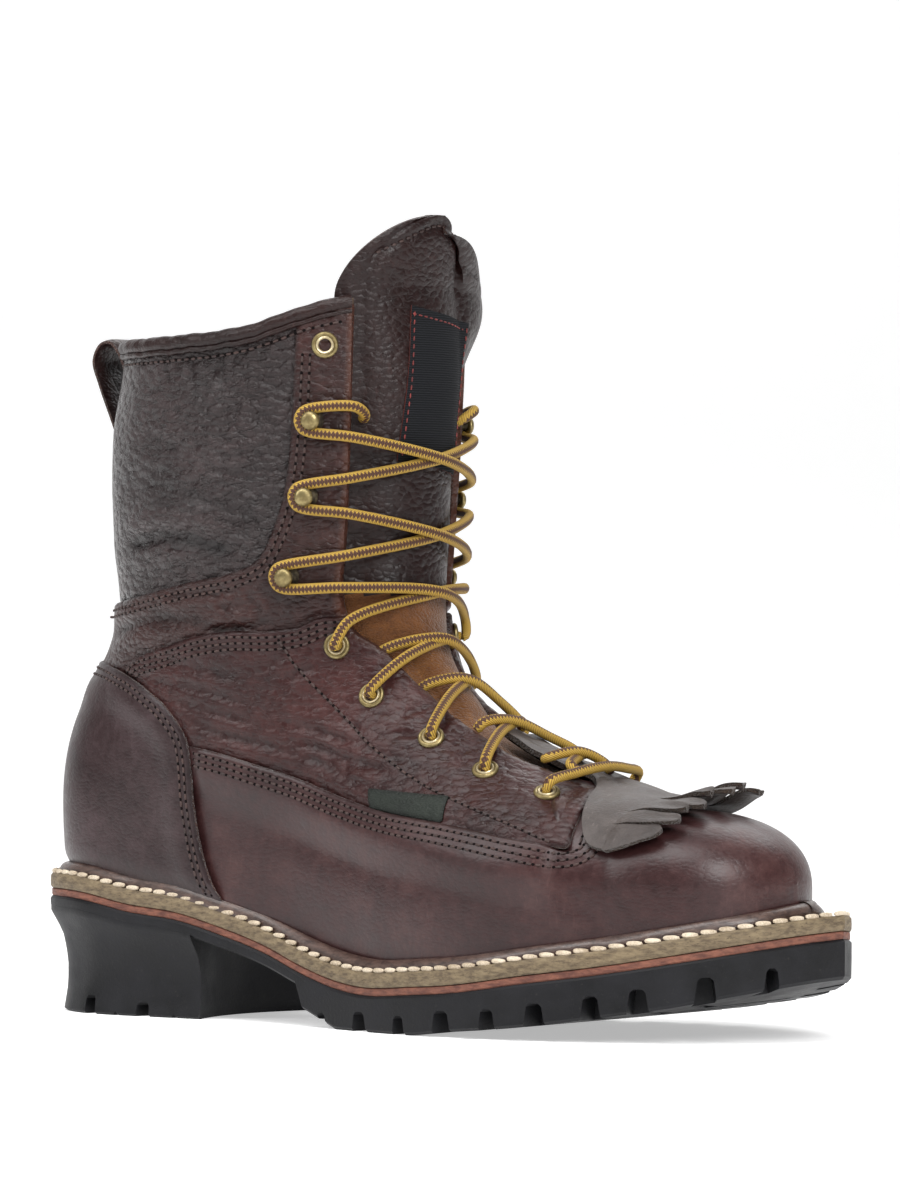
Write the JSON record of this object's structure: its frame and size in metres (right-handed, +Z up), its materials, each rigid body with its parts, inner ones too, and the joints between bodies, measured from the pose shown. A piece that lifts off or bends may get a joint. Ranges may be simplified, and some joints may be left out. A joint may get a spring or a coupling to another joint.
{
  "type": "logger boot",
  "caption": "Tall lace-up leather work boot with a high raised heel, lugged rubber sole, welt, fringed false tongue, eyelets, speed hooks and a pull loop; right foot.",
  "frame": {"origin": "floor point under the middle of the heel's bottom face", "axes": "+X to the toe, +Y to the inner side of the foot, +Z up; the boot stands on the floor at z = 0"},
  "size_m": [0.3076, 0.1098, 0.2632],
  "materials": {
    "outsole_rubber": "matt moulded black rubber",
    "slip_layer": "red-brown slip layer, cut edge",
    "welt_leather": "tan-grey welt with a streaked edge",
    "insole_board": "tan insole",
    "upper_leather": "dark burgundy-brown oiled leather, satin",
    "tongue_leather": "dark brown soft leather",
    "kiltie_leather": "dark grey leather, matt",
    "patch_fabric": "bare dark woven patch",
    "aged_brass": "antiqued brass",
    "lace_cord": "round braided cord, yellow with brown"
  },
  "bodies": {
    "root": {"outsole": "outsole_rubber", "midsole": "slip_layer", "welt": "welt_leather", "insole": "insole_board", "upper": "upper_leather", "heel_counter": "upper_leather", "backstay": "upper_leather", "collar_binding": "upper_leather", "pull_loop": "upper_leather", "tongue": "tongue_leather", "tongue_patch": "patch_fabric", "kiltie": "kiltie_leather", "quarter_tag": "patch_fabric", "quarter_outer": "upper_leather", "facing_outer": "upper_leather", "quarter_inner": "upper_leather", "facing_inner": "upper_leather", "eyelet_outer_1": "aged_brass", "eyelet_outer_2": "aged_brass", "eyelet_outer_3": "aged_brass", "eyelet_outer_4": "aged_brass", "eyelet_outer_5": "aged_brass", "eyelet_outer_6": "aged_brass", "hook_outer_1": "aged_brass", "hook_outer_2": "aged_brass", "hook_outer_3": "aged_brass", "eyelet_inner_1": "aged_brass", "eyelet_inner_2": "aged_brass", "eyelet_inner_3": "aged_brass", "eyelet_inner_4": "aged_brass", "eyelet_inner_5": "aged_brass", "eyelet_inner_6": "aged_brass", "hook_inner_1": "aged_brass", "hook_inner_2": "aged_brass", "hook_inner_3": "aged_brass", "lace_bar": "lace_cord", "lace_crossing_1": "lace_cord", "lace_crossing_2": "lace_cord", "lace_crossing_3": "lace_cord", "lace_crossing_4": "lace_cord", "lace_hooks": "lace_cord"}
  },
  "joints": []
}
